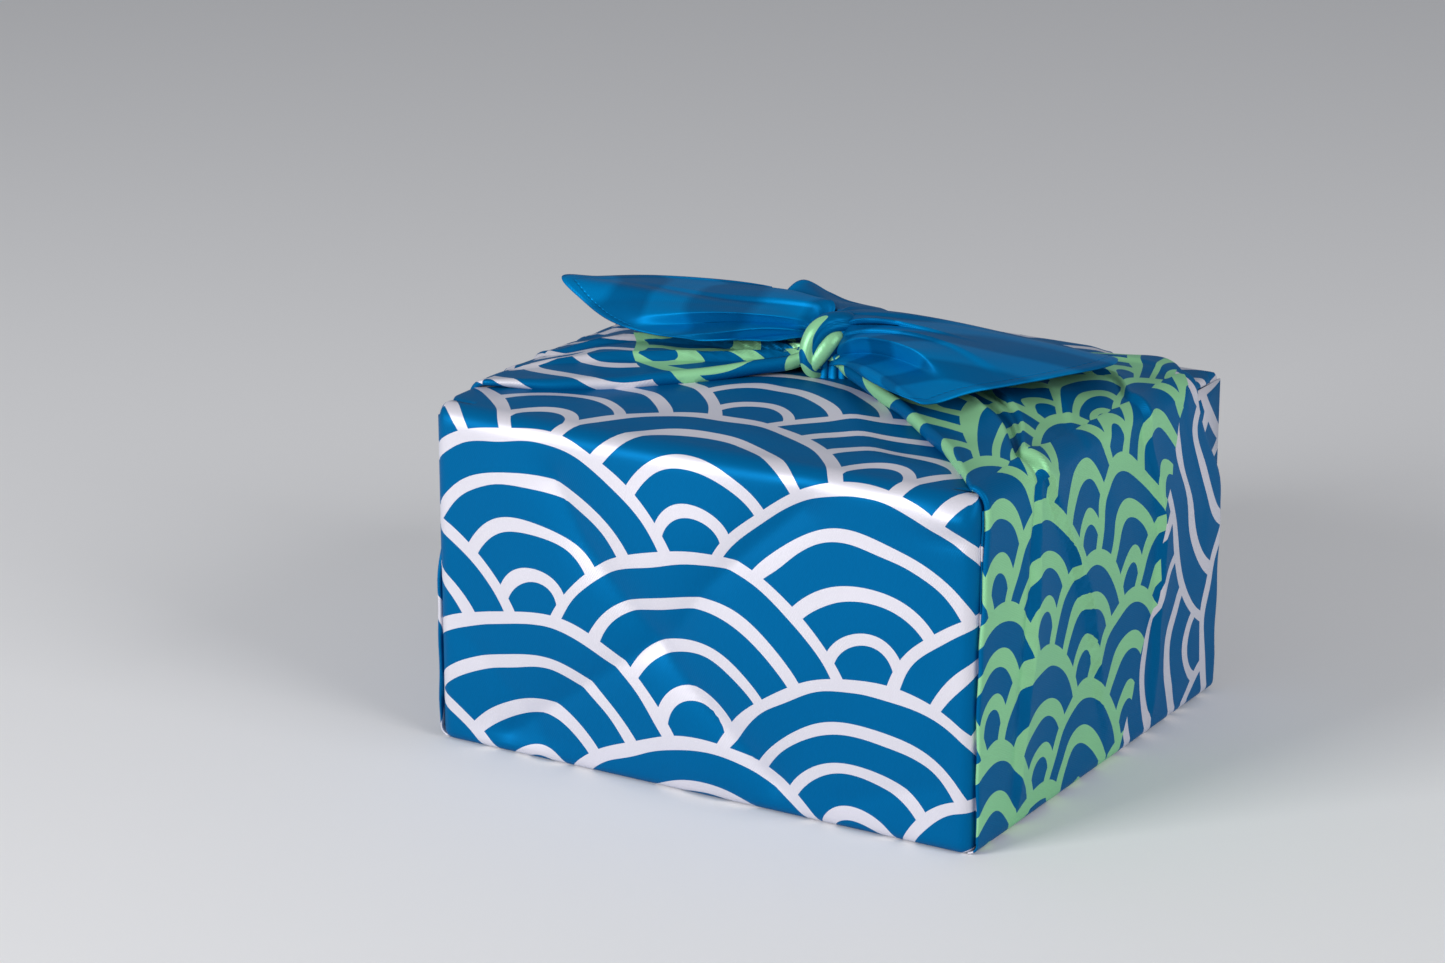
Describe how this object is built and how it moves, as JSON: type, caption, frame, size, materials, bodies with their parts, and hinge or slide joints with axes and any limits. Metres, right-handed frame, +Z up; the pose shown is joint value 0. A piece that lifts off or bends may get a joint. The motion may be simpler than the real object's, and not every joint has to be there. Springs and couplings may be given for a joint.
{
  "type": "furoshiki-wrapped box",
  "caption": "Square cloth wrapped round a box in the basic carry wrap, its gathered corners tied in one knot on top.",
  "frame": {"origin": "middle of the underside, on the surface that the wrap stands on", "axes": "+Z up, -Y out of the front panel, +X to the right of the front"},
  "size_m": [0.2335, 0.2051, 0.1627],
  "materials": {
    "cloth": "printed satin-weave polyester, blue with white and green",
    "carton": "plain uncoated carton board, hidden by the cloth"
  },
  "bodies": {
    "root": {"cloth": "cloth", "gift_box": "carton"}
  },
  "joints": []
}
